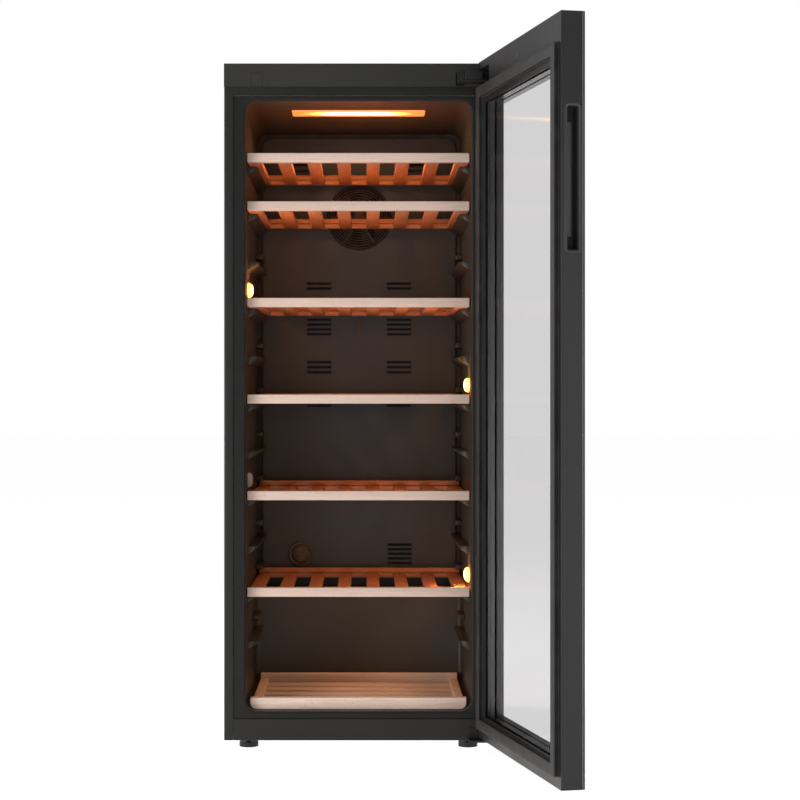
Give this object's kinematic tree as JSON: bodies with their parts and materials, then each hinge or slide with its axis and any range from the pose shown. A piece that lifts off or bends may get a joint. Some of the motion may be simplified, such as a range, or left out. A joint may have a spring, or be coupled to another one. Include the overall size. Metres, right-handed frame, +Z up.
{
  "type": "wine cooler",
  "caption": "Tall free-standing wine cooler with a hinged glass door standing open, slatted wooden shelves on side ledges and a fan-cooled cavity with amber lamps.",
  "frame": {"origin": "bottom centre of the bounding box with the door open at 102 degrees, on the floor under the feet", "axes": "+Z up, +Y from the door side to the back, +X to the hinge side"},
  "size_m": [0.613, 1.0328, 1.27],
  "materials": {
    "dark_steel": "satin",
    "cap_plastic": "satin",
    "liner_plastic": "matte",
    "panel_plastic": "matte",
    "black_plastic": "matte",
    "door_plastic": "satin",
    "gasket_rubber": "matte",
    "beech": "satin",
    "pane": "gloss",
    "lamp_lens": "gloss",
    "aluminium": "satin",
    "zinc_plate": "satin",
    "galvanised": "satin",
    "foam": "matte",
    "compressor_black": "satin",
    "filter_cloth": "matte"
  },
  "bodies": {
    "cabinet": {"outer_shell": "dark_steel", "kick_panel": "dark_steel", "base_tray": "galvanised", "insulation_foam": "foam", "inner_liner": "liner_plastic", "rear_sheet": "dark_steel", "top_cap": "cap_plastic", "hinge_plug": "cap_plastic", "control_box": "black_plastic", "compressor_plate": "galvanised", "compressor": "compressor_black", "drip_tray": "black_plastic", "machine_cover": "dark_steel", "cord_gland": "gasket_rubber", "condenser_coil": "compressor_black", "evaporator": "aluminium", "duct_panel": "panel_plastic", "fan_grille": "panel_plastic", "fan_motor": "black_plastic", "sensor_cover": "filter_cloth", "ceiling_lamp_lens": "lamp_lens", "ceiling_lamp_board": "aluminium", "upper_hinge_bracket": "zinc_plate", "upper_hinge_cover": "black_plastic", "lower_hinge_bracket": "zinc_plate", "rear_foot_left": "black_plastic", "rear_foot_right": "black_plastic", "side_lamp_1": "lamp_lens", "side_lamp_2": "lamp_lens", "side_lamp_3": "lamp_lens", "side_lamp_4": "lamp_lens"},
    "door": {"door_frame": "door_plastic", "door_glass_outer": "pane", "door_glass_middle": "pane", "door_glass_inner": "pane", "spacer_outer": "aluminium", "spacer_inner": "aluminium", "door_gasket": "gasket_rubber", "handle_cup": "black_plastic", "hinge_bush_top": "black_plastic", "hinge_bush_bottom": "black_plastic", "door_magnet": "black_plastic"},
    "shelf_1": {"shelf_1_front": "beech", "shelf_1_deck": "beech"},
    "shelf_2": {"shelf_2_front": "beech", "shelf_2_deck": "beech"},
    "shelf_3": {"shelf_3_front": "beech", "shelf_3_deck": "beech"},
    "shelf_4": {"shelf_4_front": "beech", "shelf_4_deck": "beech"},
    "shelf_5": {"shelf_5_front": "beech", "shelf_5_deck": "beech"},
    "shelf_6": {"shelf_6_front": "beech", "shelf_6_deck": "beech"},
    "rack": {"rack_front": "beech", "rack_deck": "beech"},
    "fan": {"fan_impeller": "black_plastic"},
    "filter": {"charcoal_filter": "filter_cloth"},
    "foot_left": {"front_foot_left": "black_plastic"},
    "foot_right": {"front_foot_right": "black_plastic"}
  },
  "joints": [
    {"name": "door_hinge", "type": "hinge", "parent": "cabinet", "child": "door", "pos_m": [0.1775, -0.04065, 0], "axis": [0, 0, 1], "range_deg": [-102, 6]},
    {"name": "shelf_1_slide", "type": "slide", "parent": "cabinet", "child": "shelf_1", "axis": [0, -1, 0], "range_m": [0, 0.15]},
    {"name": "shelf_2_slide", "type": "slide", "parent": "cabinet", "child": "shelf_2", "axis": [0, -1, 0], "range_m": [0, 0.15]},
    {"name": "shelf_3_slide", "type": "slide", "parent": "cabinet", "child": "shelf_3", "axis": [0, -1, 0], "range_m": [0, 0.15]},
    {"name": "shelf_4_slide", "type": "slide", "parent": "cabinet", "child": "shelf_4", "axis": [0, -1, 0], "range_m": [0, 0.15]},
    {"name": "shelf_5_slide", "type": "slide", "parent": "cabinet", "child": "shelf_5", "axis": [0, -1, 0], "range_m": [0, 0.15]},
    {"name": "shelf_6_slide", "type": "slide", "parent": "cabinet", "child": "shelf_6", "axis": [0, -1, 0], "range_m": [0, 0.15]},
    {"name": "rack_slide", "type": "slide", "parent": "cabinet", "child": "rack", "axis": [0, -1, 0], "range_m": [0, 0.15]},
    {"name": "fan_spin", "type": "hinge", "parent": "cabinet", "child": "fan", "pos_m": [-0.058, 0.42635, 1.026], "axis": [0, 1, 0], "continuous": true},
    {"name": "filter_turn", "type": "hinge", "parent": "cabinet", "child": "filter", "pos_m": [-0.179, 0.41835, 0.328], "axis": [0, 1, 0], "range_deg": [0, 90]},
    {"name": "foot_left_screw", "type": "hinge", "parent": "cabinet", "child": "foot_left", "pos_m": [-0.263, 0.02535, 0], "axis": [0, 0, 1], "range_deg": [0, 720]},
    {"name": "foot_right_screw", "type": "hinge", "parent": "cabinet", "child": "foot_right", "pos_m": [0.147, 0.02535, 0], "axis": [0, 0, 1], "range_deg": [0, 720]}
  ]
}
